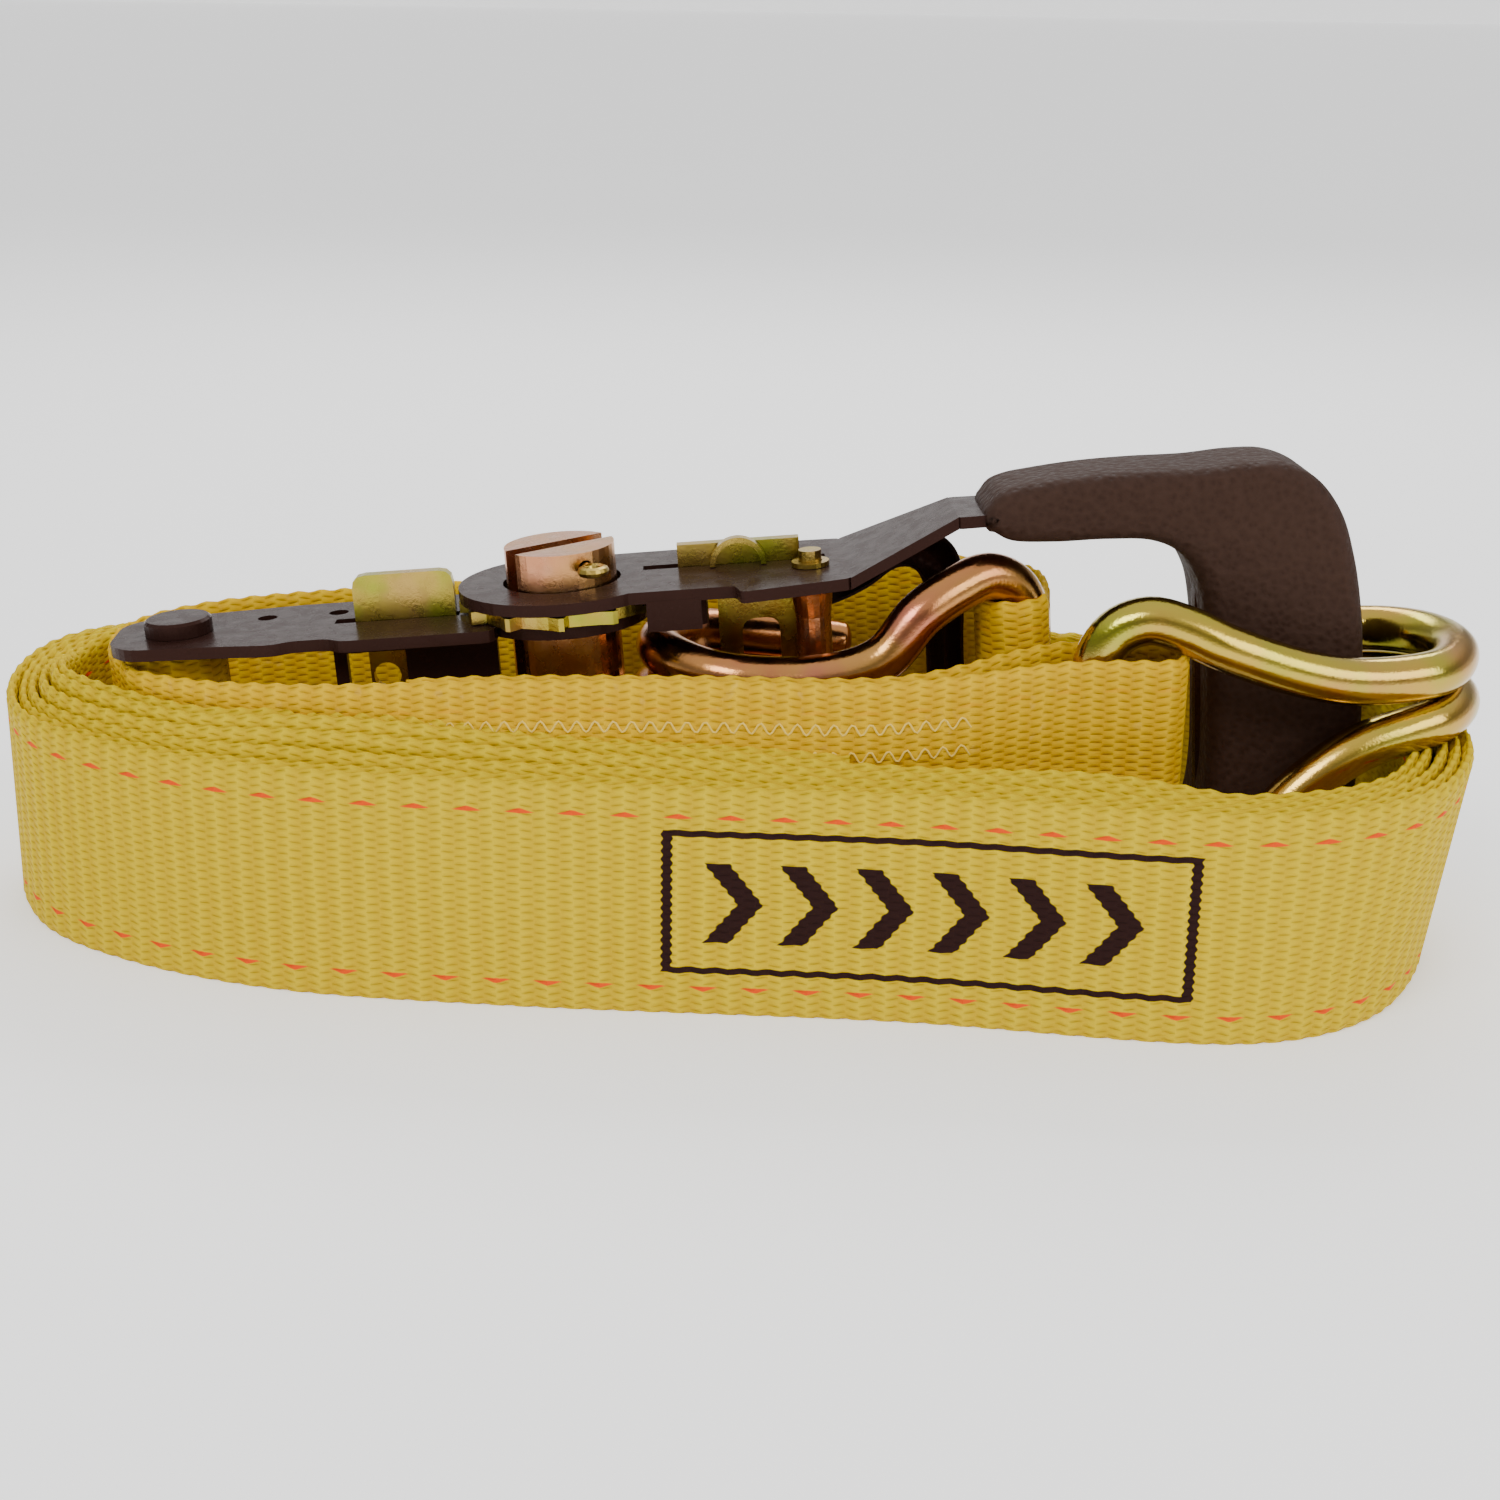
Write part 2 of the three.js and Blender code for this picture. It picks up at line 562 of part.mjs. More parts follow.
// The finger bail: one flat strip bent into a U behind the pawl.
function drivePawlPull() {
  const y0 = DRIVE_Y + PAWL_T + 0.3;
  const outer = [
    [46, 29.6], [58, 30.4], [64, 31.6], [70, 33.6], [76, 36.8], [80, 38.2], [85, 36], [88, 31], [88, 10],
  ];
  const inner = [[79.5, 10], [79.5, 26], [77.6, 29.6], [74, 30.2], [67, 26], [58, 22.6], [46, 21.6]];
  const outline = [...outer, ...outer.map(([x, z]) => [x, -z]).reverse(),
    ...inner.map(([x, z]) => [x, -z]).reverse(), ...inner];
  const shape = new THREE.Shape(outline.map(([x, z]) => new THREE.Vector2(x, -z)).reverse());
  return part('drive_pawl_pull', 'plate', plateXZ(shape, y0, y0 + 2.4));
}

// A gold strip arched over the handle plate in front of the ear.
function pawlSpringLoop(side) {
  const arch = new THREE.Shape();
  arch.absarc(0, 0, 6.2, 0, Math.PI);
  arch.lineTo(-5, 0);
  arch.absarc(0, 0, 5, Math.PI, 0, true);
  arch.closePath();
  const band = new THREE.ExtrudeGeometry(arch, { depth: 2.6, bevelEnabled: false, curveSegments: 14 });
  band.rotateX(Math.PI / 2);
  band.translate(38.6, DRIVE_Y - 0.6, HANDLE_OUT + 0.25);
  return part(`pawl_spring_loop_${level(side)}`, 'gold', solid(band), side);
}

// ---- hooks ---------------------------------------------------------------------------------------

// The wire's middle line: tip, round the J, along the shank, over the bar, and back the same way.
function hookRoute({ reach, lift, back }) {
  const middleY = HOOK_SHANK_Y + HOOK_BEND_R;
  const bend = [60, 20, -20, -60].map((degrees) => {
    const a = THREE.MathUtils.degToRad(degrees);
    return [reach + HOOK_BEND_R * Math.cos(a), middleY + HOOK_BEND_R * Math.sin(a), HOOK_CLOSE_Z];
  });
  const half = [
    [reach - 25, middleY + HOOK_BEND_R - 1, HOOK_CLOSE_Z],
    [reach - 13, middleY + HOOK_BEND_R + 0.2, HOOK_CLOSE_Z],
    ...bend,
    [reach - 9, HOOK_SHANK_Y, HOOK_CLOSE_Z + 2.2], [reach - 22, HOOK_SHANK_Y, 13], [27, HOOK_SHANK_Y + 1, 23.6],
    [19, -4.6, 29.6], [12, -2.4, HOOK_TOP_Z], [5.5, -0.9, 30.8], [1.2, -0.2, 25.6], [0, 0, 20], [0, 0, 10],
  ];
  const raised = (x) => lift * THREE.MathUtils.smoothstep(x, 12, 55);
  const way = back ? -1 : 1;
  const points = [
    ...half.map(([x, y, z]) => new THREE.Vector3(way * x, y, raised(x) + z)),
    ...half.map(([x, y, z]) => new THREE.Vector3(way * x, y, raised(x) - z)).reverse(),
  ];
  return new THREE.CatmullRomCurve3(points, false, 'centripetal');
}

// One bent wire; the short strap's hook is turned half round its bar's middle.
function hook(name, place) {
  const mesh = part(name, 'gold', solid(wireGeometry(hookRoute(place), WIRE_R, 90, 12)));
  mesh.applyMatrix4(hookMatrix(place));
  return mesh;
}

// ---- assembly ------------------------------------------------------------------------------------

function buckle() {
  const group = new THREE.Group();
  group.applyMatrix4(buckleMatrix());

  const mandrel = new THREE.Group();
  mandrel.rotation.z = MANDREL_TURN;
  mandrel.add(mandrelHalf('mandrel_half_front', -1), mandrelHalf('mandrel_half_rear', 1));

  [1, -1].forEach((side) => {
    mandrel.add(ratchetWheel(side), splitPin(side));
    group.add(framePlate(side), handlePlate(side), handleWasher(side), pawlGuide(side), pawlSpringLoop(side));
  });
  group.add(
    mandrel, anchorBolt(), anchorSleeve(), anchorNut(), frameBridge(), framePawl(), framePawlSpring(),
    handleBolt(), handleSleeve(), gripCover(), gripCoreBar(), drivePawl(), drivePawlPull(), shortStrap(),
  );
  return group;
}

const object = new THREE.Group();
object.add(
  strapCoil(), strapHookEnd(), buckle(),
  hook('hook_long_strap', LONG_HOOK), hook('hook_short_strap', SHORT_HOOK),
);
object.position.set(-MIDDLE[0], -MIDDLE[1], 0);
export default object;
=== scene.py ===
"""Ratchet strap wound for storage: the looks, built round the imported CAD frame. Metres, +Z up."""
import math

import bpy
import bmesh
from mathutils import Matrix, Vector


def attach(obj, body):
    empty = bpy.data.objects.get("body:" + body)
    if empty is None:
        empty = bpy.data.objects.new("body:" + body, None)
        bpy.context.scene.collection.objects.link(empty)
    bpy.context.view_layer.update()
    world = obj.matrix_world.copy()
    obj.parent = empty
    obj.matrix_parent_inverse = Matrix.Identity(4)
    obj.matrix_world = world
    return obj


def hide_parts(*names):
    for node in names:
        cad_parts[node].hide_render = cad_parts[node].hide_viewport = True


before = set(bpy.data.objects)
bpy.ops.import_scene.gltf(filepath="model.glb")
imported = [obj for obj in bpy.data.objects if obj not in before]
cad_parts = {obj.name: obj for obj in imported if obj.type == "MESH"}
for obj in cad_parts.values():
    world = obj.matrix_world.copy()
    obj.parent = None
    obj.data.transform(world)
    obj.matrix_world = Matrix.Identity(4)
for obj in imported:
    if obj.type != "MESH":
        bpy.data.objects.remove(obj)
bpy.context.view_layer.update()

MM = 0.001
SHIFT = Vector((2.25, 0.3, 0)) * MM      # the bundle's middle stands over the origin
WEB = 50 * MM                            # width of the webbing
RIB, ROW = 5.4 * MM, 1.8 * MM            # steps of the weave along and across the webbing
WEB_GAUGE = 2.1 * MM                     # one ply, where nothing presses it
WIRE_R = 5.2 * MM

# ---- camera and light ----------------------------------------------------------------------------

CAMERA_PLACE = Vector((0, -0.479, 0.1999))
PITCH, ROLL = 18.3, 1.0
LENS_MM, SENSOR_MM = 54, 36
WORLD_STRENGTH = 0.9
SKY_TONES = [(0.0, 0.95), (0.10, 0.80), (0.22, 0.34), (0.42, 0.42), (0.62, 1.0), (1.0, 1.25)]


def set_camera():
    data = bpy.data.cameras.new("camera")
    data.sensor_width = SENSOR_MM
    data.lens = LENS_MM
    data.clip_start = 0.01
    camera = bpy.data.objects.new("camera", data)
    bpy.context.scene.collection.objects.link(camera)
    camera.matrix_world = (Matrix.Translation(CAMERA_PLACE + SHIFT)
                           @ Matrix.Rotation(math.radians(90 - PITCH), 4, "X")
                           @ Matrix.Rotation(math.radians(ROLL), 4, "Z"))
    bpy.context.scene.camera = camera


def set_world():
    """White overhead and softly darker bands round the sides, so polished wire has something to mirror."""
    world = bpy.data.worlds.new("studio")
    world.use_nodes = True
    tree = world.node_tree
    background = tree.nodes["Background"]
    background.inputs["Strength"].default_value = WORLD_STRENGTH
    coords = tree.nodes.new("ShaderNodeTexCoord")
    split = tree.nodes.new("ShaderNodeSeparateXYZ")
    ramp = tree.nodes.new("ShaderNodeValToRGB")
    tree.links.new(coords.outputs["Generated"], split.inputs[0])
    tree.links.new(split.outputs["Z"], ramp.inputs[0])
    tree.links.new(ramp.outputs["Color"], background.inputs["Color"])
    elements = ramp.color_ramp.elements
    while len(elements) < len(SKY_TONES):
        elements.new(0.5)
    for element, (height, tone) in zip(elements, SKY_TONES):
        element.position = height
        element.color = (tone, tone, tone, 1)
    bpy.context.scene.world = world


def area_light(name, place, aim, size, power):
    data = bpy.data.lights.new(name, "AREA")
    data.shape = "RECTANGLE"
    data.size, data.size_y = size
    data.energy = power
    light = bpy.data.objects.new(name, data)
    light.location = place
    light.rotation_euler = (Vector(aim) - Vector(place)).to_track_quat("-Z", "Y").to_euler()
    bpy.context.scene.collection.objects.link(light)


set_camera()
set_world()
area_light("key", place=(-0.5, -0.9, 1.1), aim=(0, 0, 0.03), size=(0.7, 0.5), power=9)
area_light("fill", place=(0.9, -0.7, 0.7), aim=(0, 0, 0.03), size=(0.8, 0.6), power=6)
area_light("back", place=(0.1, 0.9, 0.9), aim=(0, 0, 0.05), size=(1.0, 0.4), power=7)

# ---- materials -----------------------------------------------------------------------------------


class Nodes:
    """A small helper that builds a material's node tree."""

    def __init__(self, name):
        self.material = bpy.data.materials.new(name)
        self.material.use_nodes = True
        self.tree = self.material.node_tree
        self.shader = self.tree.nodes["Principled BSDF"]

    def new(self, kind, **props):
        node = self.tree.nodes.new(kind)
        for key, value in props.items():
            setattr(node, key, value)
        return node

    def link(self, a, b):
        self.tree.links.new(a, b)

    def feed(self, socket, value):
        """Give a socket a number, a colour or another node's output."""
        if isinstance(value, tuple):
            socket.default_value = (*value, 1)
        elif isinstance(value, (int, float)):
            socket.default_value = value
        else:
            self.link(value, socket)

    def math(self, operation, a, b=None, clamp=False):
        node = self.new("ShaderNodeMath", operation=operation, use_clamp=clamp)
        self.feed(node.inputs[0], a)
        if b is not None:
            self.feed(node.inputs[1], b)
        return node.outputs[0]

    def mix(self, factor, a, b):
        """Two colours mixed. The node's colour sockets are 6 and 7, and its colour output is 2."""
        node = self.new("ShaderNodeMix", data_type="RGBA", blend_type="MIX")
        for index, value in ((0, factor), (6, a), (7, b)):
            self.feed(node.inputs[index], value)
        return node.outputs[2]

    def coords(self, kind="Object"):
        return self.new("ShaderNodeTexCoord").outputs[kind]

    def noise(self, scale, detail=3, rough=0.5, vector=None, stretch=None):
        node = self.new("ShaderNodeTexNoise")
        node.inputs["Scale"].default_value = scale
        node.inputs["Detail"].default_value = detail
        node.inputs["Roughness"].default_value = rough
        source = vector or self.coords()
        if stretch:
            mapping = self.new("ShaderNodeMapping")
            mapping.inputs["Scale"].default_value = stretch
            self.link(source, mapping.inputs["Vector"])
            source = mapping.outputs[0]
        self.link(source, node.inputs["Vector"])
        return node.outputs["Fac"]

    def span(self, value, low, high, to_low, to_high, smooth=False):
        """A value carried from one range to another."""
        node = self.new("ShaderNodeMapRange", interpolation_type="SMOOTHSTEP" if smooth else "LINEAR")
        self.link(value, node.inputs["Value"])
        for key, number in (("From Min", low), ("From Max", high), ("To Min", to_low), ("To Max", to_high)):
            node.inputs[key].default_value = number
        return node.outputs["Result"]

    def bump(self, height, strength, distance):
        node = self.new("ShaderNodeBump")
        node.inputs["Strength"].default_value = strength
        node.inputs["Distance"].default_value = distance
        self.link(height, node.inputs["Height"])
        return node.outputs[0]

    def set(self, **values):
        """Set the shader's inputs. An underscore stands for a space in an input's name."""
        for key, value in values.items():
            self.feed(self.shader.inputs[key.replace("_", " ")], value)


def floor_material():
    m = Nodes("floor")
    tone = m.mix(m.noise(3, 2), (0.93, 0.93, 0.93), (0.96, 0.96, 0.96))
    m.set(Base_Color=tone, Roughness=0.9, Specular_IOR_Level=0.1)
    m.set(Emission_Color=(1, 1, 1), Emission_Strength=0.42)
    return m.material


TRACER_RED, PRINT_BROWN, RUBBED = (0.80, 0.07, 0.0), (0.022, 0.008, 0.007), (0.9, 0.75, 0.5)
DASH_INSET = 6.2 * MM                    # from the webbing's edge to the middle of the dashes
DASH_HALF_WIDTH = 0.62 * MM
DASH_HALF_LENGTH = 0.3                   # in steps from dash to dash
MARK_LOW, MARK_HIGH = 9.5 * MM, 41 * MM  # the mark's frame, across the webbing
MARK_LINE = 1.4 * MM
CHEVRONS = 6


def weave(m, u, v):
    """Short threads side by side, every other column half a step up. Gives the gaps and the ribs."""
    wobble = m.math("MULTIPLY", m.math("SUBTRACT", m.noise(90, 2), 0.5), 0.0011)
    wavy_u = m.math("ADD", u, wobble)
    column = m.math("DIVIDE", wavy_u, RIB / 2)
    odd = m.math("MULTIPLY", m.math("MODULO", m.math("FLOOR", column), 2.0), 0.5)
    row = m.math("ADD", m.math("DIVIDE", v, ROW), odd)
    across = m.math("SINE", m.math("MULTIPLY", m.math("FRACT", row), math.pi))
    along = m.math("SINE", m.math("MULTIPLY", m.math("FRACT", column), math.pi))
    thread = m.math("POWER", across, 0.45)
    gap = m.math("MULTIPLY", m.math("SUBTRACT", 1.0, thread), m.math("POWER", along, 0.6))
    rib = m.math("COSINE", m.math("MULTIPLY", wavy_u, 2 * math.pi / RIB))
    return gap, rib


def tracer_dashes(m, u, v):
    """Dashes near both edges, the two rows half a step apart."""
    def row(centre, shift):
        place = m.math("FRACT", m.math("ADD", m.math("DIVIDE", u, 2 * RIB), shift))
        out = m.math("ABSOLUTE", m.math("DIVIDE", m.math("SUBTRACT", place, 0.5), DASH_HALF_LENGTH))
        lens = m.math("SUBTRACT", 1.0, m.math("POWER", out, 1.2))
        off = m.math("ABSOLUTE", m.math("SUBTRACT", v, centre))
        inside = m.math("SUBTRACT", m.math("MULTIPLY", lens, DASH_HALF_WIDTH), off)
        return m.span(inside, -0.06 * MM, 0.16 * MM, 0.0, 1.0, smooth=True)

    return m.math("MAXIMUM", row(DASH_INSET, 0.0), row(WEB - DASH_INSET, 0.5))


def print_mark(m, u, v, u0, u1):
    """A woven-in mark with no letters: a plain frame round a row of plain chevrons."""
    # the weave's own steps roughen the outline
    step = m.math("MULTIPLY", m.math("SINE", m.math("MULTIPLY", v, 2 * math.pi / ROW)), 0.22 * MM)
    rough_u = m.math("ADD", u, step)

    def inside(value, low, high):
        middle, half = (low + high) / 2, (high - low) / 2
        away = m.math("ABSOLUTE", m.math("SUBTRACT", value, middle))
        return m.span(m.math("SUBTRACT", half, away), -0.1 * MM, 0.1 * MM, 0.0, 1.0)

    def box(inset_u, inset_v):
        """The mark's whole rectangle, made smaller by an inset on each side."""
        across = inside(v, MARK_LOW + inset_v, MARK_HIGH - inset_v)
        return m.math("MULTIPLY", inside(rough_u, u0 + inset_u, u1 - inset_u), across)

    border = m.math("SUBTRACT", box(0, 0), box(1.5 * MARK_LINE, MARK_LINE))
    bend = m.math("ABSOLUTE", m.math("SUBTRACT", v, (MARK_LOW + MARK_HIGH) / 2))
    slant = m.math("ADD", rough_u, m.math("MULTIPLY", bend, 0.8))
    first, inset = u0 + 10.5 * MM, 8 * MM
    pitch = (u1 - u0 - 2 * inset) / CHEVRONS
    wave = m.math("FRACT", m.math("DIVIDE", m.math("SUBTRACT", slant, first), pitch))
    bars = m.span(m.math("ABSOLUTE", m.math("SUBTRACT", wave, 0.5)), 0.16, 0.18, 1.0, 0.0)
    return m.math("MAXIMUM", border, m.math("MULTIPLY", bars, box(inset, 7 * MM)))


def webbing_material(name, low, high, gap_painted_shade, print_span=None, worn=0.0, tracer=1.0):
    """Woven polyester. The UV map holds metres: U along the strap, V across it."""
    m = Nodes(name)
    separate = m.new("ShaderNodeSeparateXYZ")
    m.link(m.coords("UV"), separate.inputs[0])
    u, v = separate.outputs["X"], separate.outputs["Y"]
    gap, rib = weave(m, u, v)
    fibre = m.noise(1, 3, 0.6, vector=m.coords("UV"), stretch=(700, 5200, 1))
    height = m.math("ADD", m.math("MULTIPLY", gap, -0.9), m.math("MULTIPLY", fibre, 0.25))
    height = m.math("ADD", height, m.math("MULTIPLY", rib, 0.22))
    # painted light and shade: each rib is lighter on its crest and darker in its valley
    tint = m.mix(m.span(rib, -1, 1, 0.0, 1.0), low, high)
    tint = m.mix(m.span(m.noise(28, 3), 0.35, 0.7, 0.0, 0.35), tint, high)
    # painted shade: the gaps between threads are darkened up to 62% toward the painted shade colour
    colour = m.mix(m.math("MULTIPLY", gap, 0.62, clamp=True), tint, gap_painted_shade)
    colour = m.mix(m.math("MULTIPLY", tracer_dashes(m, u, v), tracer), colour, TRACER_RED)
    if print_span:
        colour = m.mix(print_mark(m, u, v, *print_span), colour, PRINT_BROWN)
    if worn:
        colour = m.mix(m.span(m.noise(400, 2), 0.62, 0.75, 0.0, worn), colour, RUBBED)
    m.set(Base_Color=colour, Roughness=m.span(gap, 0, 1, 0.62, 0.85), Specular_IOR_Level=0.06)
    m.set(Normal=m.bump(height, 0.75, 0.7 * MM))
    return m.material


def metal(name, tones, rough, patches=60):
    """Plated steel: its tint drifts between three colours. More patches are smaller ones."""
    m = Nodes(name)
    colour = m.mix(m.span(m.noise(patches, 3, 0.55), 0.35, 0.65, 0, 1), tones[0], tones[1])
    colour = m.mix(m.span(m.noise(patches * 1.7, 2, 0.5), 0.5, 0.72, 0, 1), colour, tones[2])
    m.set(Base_Color=colour, Metallic=1.0, Roughness=m.span(m.noise(220, 3), 0.3, 0.7, *rough))
    m.set(Normal=m.bump(m.noise(1400, 3, 0.6), 0.18, 0.25 * MM))
    return m.material


def painted(name, tone, light, rough):
    """Satin paint with a little dust."""
    m = Nodes(name)
    dust = m.span(m.noise(900, 2, 0.7), 0.68, 0.8, 0, 0.12)
    colour = m.mix(dust, m.mix(m.noise(45, 3), tone, light), (0.06, 0.035, 0.03))
    m.set(Base_Color=colour, Roughness=m.span(m.noise(260, 3), 0.3, 0.7, *rough))
    m.set(Normal=m.bump(m.noise(500, 2), 0.04, 0.2 * MM))
    m.set(Specular_IOR_Level=0.09, Specular_Tint=(1.0, 0.6, 0.5))
    return m.material


def grip_material():
    """Moulded plastic with a fine leather grain."""
    m = Nodes("grip_leather_grain")
    cell = m.new("ShaderNodeTexVoronoi", feature="SMOOTH_F1")
    cell.inputs["Scale"].default_value = 620
    cell.inputs["Smoothness"].default_value = 0.6
    m.link(m.coords(), cell.inputs["Vector"])
    grain = m.math("ADD", cell.outputs["Distance"], m.math("MULTIPLY", m.noise(900, 4, 0.6), 0.6))
    tone = m.mix(m.noise(40, 3), (0.022, 0.010, 0.007), (0.038, 0.019, 0.013))
    colour = m.mix(m.span(grain, 0.4, 1.1, 0, 0.5), tone, (0.055, 0.030, 0.022))
    m.set(Base_Color=colour, Roughness=m.span(grain, 0.3, 1.1, 0.5, 0.72))
    m.set(Normal=m.bump(grain, 0.55, 0.6 * MM))
    m.set(Specular_IOR_Level=0.14, Specular_Tint=(1.0, 0.75, 0.65))
    return m.material


# webbing tones: rib valley and rib crest (painted shade and painted light across the ribs), then the
# painted shade for the gaps between threads
YELLOW = ((0.57, 0.375, 0.0), (0.67, 0.485, 0.0), (0.33, 0.17, 0.0))
AMBER = ((0.62, 0.35, 0.0), (0.74, 0.46, 0.0), (0.34, 0.15, 0.0))
BLACK = painted("satin_black", (0.020, 0.008, 0.006), (0.030, 0.013, 0.010), (0.2, 0.32))
THREAD = painted("pale_thread", (0.74, 0.52, 0.06), (0.8, 0.6, 0.14), (0.6, 0.8))
GOLD = metal("yellow_zinc", ((0.40, 0.31, 0.04), (0.46, 0.30, 0.08), (0.32, 0.33, 0.03)), (0.2, 0.34))
PINK_GOLD = metal("pink_zinc", ((0.46, 0.17, 0.07), (0.50, 0.27, 0.07), (0.46, 0.14, 0.10)),
                  (0.12, 0.24), patches=34)
HOOK_GOLD = metal("hook_zinc", ((0.52, 0.37, 0.05), (0.52, 0.26, 0.09), (0.38, 0.38, 0.04)),
                  (0.1, 0.2), patches=26)
COPPER = metal("copper_zinc", ((0.56, 0.24, 0.12), (0.52, 0.28, 0.09), (0.58, 0.32, 0.2)),
               (0.2, 0.34), patches=50)
LEATHER = grip_material()

# ---- the floor -----------------------------------------------------------------------------------

FLOOR_SIDE, FLOOR_FRONT, FLOOR_BACK, BACKDROP_TOP = 40, -3, 90, 30


def lay_floor():
    """A flat sheet that turns up far behind, so that no horizon shows."""
    rows = ((FLOOR_FRONT, 0), (FLOOR_BACK, 0), (FLOOR_BACK, BACKDROP_TOP))
    points = [(side, y, z) for y, z in rows for side in (-FLOOR_SIDE, FLOOR_SIDE)]
    mesh = bpy.data.meshes.new("floor")
    mesh.from_pydata(points, [], [(0, 1, 3, 2), (2, 3, 5, 4)])
    mesh.materials.append(floor_material())
    floor = bpy.data.objects.new("floor", mesh)
    bpy.context.scene.collection.objects.link(floor)


lay_floor()

# ---- making pieces -------------------------------------------------------------------------------


def piece(name, verts, faces, material, body, uvs=None):
    """A smooth-shaded piece on a body, with its faces turned outwards."""
    mesh = bpy.data.meshes.new(name)
    mesh.from_pydata([tuple(Vector(v) + SHIFT) for v in verts], [], faces)
    if uvs:
        layer = mesh.uv_layers.new(name="UVMap")
        for loop in mesh.loops:
            layer.data[loop.index].uv = uvs[loop.vertex_index]
    mesh.polygons.foreach_set("use_smooth", [True] * len(mesh.polygons))
    mesh.materials.append(material)
    mesh.update()
    obj = bpy.data.objects.new(name, mesh)
    bpy.context.scene.collection.objects.link(obj)
    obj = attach(obj, body)
    flip_if_inside_out(obj)
    return obj


def flip_if_inside_out(obj):
    bm = bmesh.new()
    bm.from_mesh(obj.data)
    if bm.calc_volume(signed=True) < 0:
        bmesh.ops.reverse_faces(bm, faces=bm.faces)
        bm.to_mesh(obj.data)
    bm.free()


def skin(rings, sides, turn_caps=False):
    """Faces over a row of rings of as many points each, with a cap at either end, turned round if asked."""
    faces = []
    for r in range(rings - 1):
        here, there = r * sides, (r + 1) * sides
        for k in range(sides):
            k2 = (k + 1) % sides
            faces.append((here + k, here + k2, there + k2, there + k))
    first_cap = tuple(reversed(range(sides)))
    last_cap = tuple(range((rings - 1) * sides, rings * sides))
    if turn_caps:
        first_cap, last_cap = first_cap[::-1], last_cap[::-1]
    return [*faces, first_cap, last_cap]


def running_lengths(points):
    """How far along the line each of its points lies."""
    lengths = [0.0]
    for a, b in zip(points, points[1:]):
        lengths.append(lengths[-1] + (b - a).length)
    return lengths


def even_places(lengths, count, steps):
    """Evenly spaced places on a line, each as the point before it and the share of the way to the next."""
    places, k = [], 0
    for i in range(count):
        want = lengths[-1] * i / steps
        while k < len(lengths) - 2 and lengths[k + 1] < want:
            k += 1
        places.append((k, (want - lengths[k]) / max(1e-9, lengths[k + 1] - lengths[k])))
    return places


def smooth_line(points, count, closed=False):
    """Evenly spaced points on a centripetal Catmull-Rom curve through the given ones."""
    pts = [Vector(p) for p in points]
    if closed:
        pts = [pts[-1], *pts, pts[0], pts[1]]
    else:
        pts = [2 * pts[0] - pts[1], *pts, 2 * pts[-1] - pts[-2]]
    fine = 24
    dense = []
    for i in range(1, len(pts) - 2):
        p0, p1, p2, p3 = pts[i - 1:i + 3]
        knots = [0.0]
        for a, b in ((p0, p1), (p1, p2), (p2, p3)):
            knots.append(knots[-1] + max(1e-6, (b - a).length ** 0.5))
        k0, k1, k2, k3 = knots
        for j in range(fine):
            t = k1 + (k2 - k1) * j / fine
            a1 = p0 * ((k1 - t) / (k1 - k0)) + p1 * ((t - k0) / (k1 - k0))
            a2 = p1 * ((k2 - t) / (k2 - k1)) + p2 * ((t - k1) / (k2 - k1))
            a3 = p2 * ((k3 - t) / (k3 - k2)) + p3 * ((t - k2) / (k3 - k2))
            b1 = a1 * ((k2 - t) / (k2 - k0)) + a2 * ((t - k0) / (k2 - k0))
            b2 = a2 * ((k3 - t) / (k3 - k1)) + a3 * ((t - k1) / (k3 - k1))
            dense.append(b1 * ((k2 - t) / (k2 - k1)) + b2 * ((t - k1) / (k2 - k1)))
    dense.append(dense[0].copy() if closed else pts[-2].copy())
    places = even_places(running_lengths(dense), count, count if closed else count - 1)
    return [dense[k].lerp(dense[k + 1], share) for k, share in places]


PATH_STEP = 1.25 * MM


def respace(path):
    """A path of (centre point, up vector) again, at an even spacing."""
    lengths = running_lengths([p for p, _ in path])
    count = max(4, int(lengths[-1] / PATH_STEP))
    out = []
    for k, share in even_places(lengths, count + 1, count):
        (point, up), (next_point, next_up) = path[k], path[k + 1]
        out.append((point.lerp(next_point, share), up.lerp(next_up, share)))
    return out


ACROSS = 26                              # points across one face of the webbing
RIB_SWELL, EDGE_SCALLOP = 0.1 * MM, 0.252 * MM
BEAD, BEAD_INSET = 0.1 * MM, 1.4 * MM    # the thicker stripe inside each selvedge


def ribbon(name, path, material, gauges):
    """Webbing along a path of (centre point, up vector). Ribs swell its faces and scallop its edges."""
    centres = [p for p, _ in path]
    run = running_lengths(centres)
    shares = [j / (ACROSS - 1) for j in range(ACROSS)]
    verts, uvs = [], []
    for i, (centre, up) in enumerate(path):
        tangent = centres[min(i + 1, len(path) - 1)] - centres[max(i - 1, 0)]
        up = up.normalized()
        side = tangent.normalized().cross(up).normalized()
        rib = math.cos(2 * math.pi * run[i] / RIB)
        for face_side in (1, -1):
            for f in shares[::face_side]:
                # the selvedges are rounded and a little thicker
                end = min(f, 1 - f) * WEB
                half = gauges[i] / 2 * min(1.0, 0.35 + 0.65 * (end / MM) ** 0.5)
                bead = BEAD * math.exp(-((end - BEAD_INSET) / MM) ** 2)
                swell = RIB_SWELL * rib * (1 if end > 0.5 * MM else 0.3)
                reach = (f - 0.5) * (WEB + 2 * EDGE_SCALLOP * rib)
                verts.append(centre + up * reach + side * (half + bead + swell) * face_side)
                uvs.append((run[i], f * WEB))
    return piece(name, verts, skin(len(path), 2 * ACROSS), material, "bundle", uvs=uvs), run[-1]


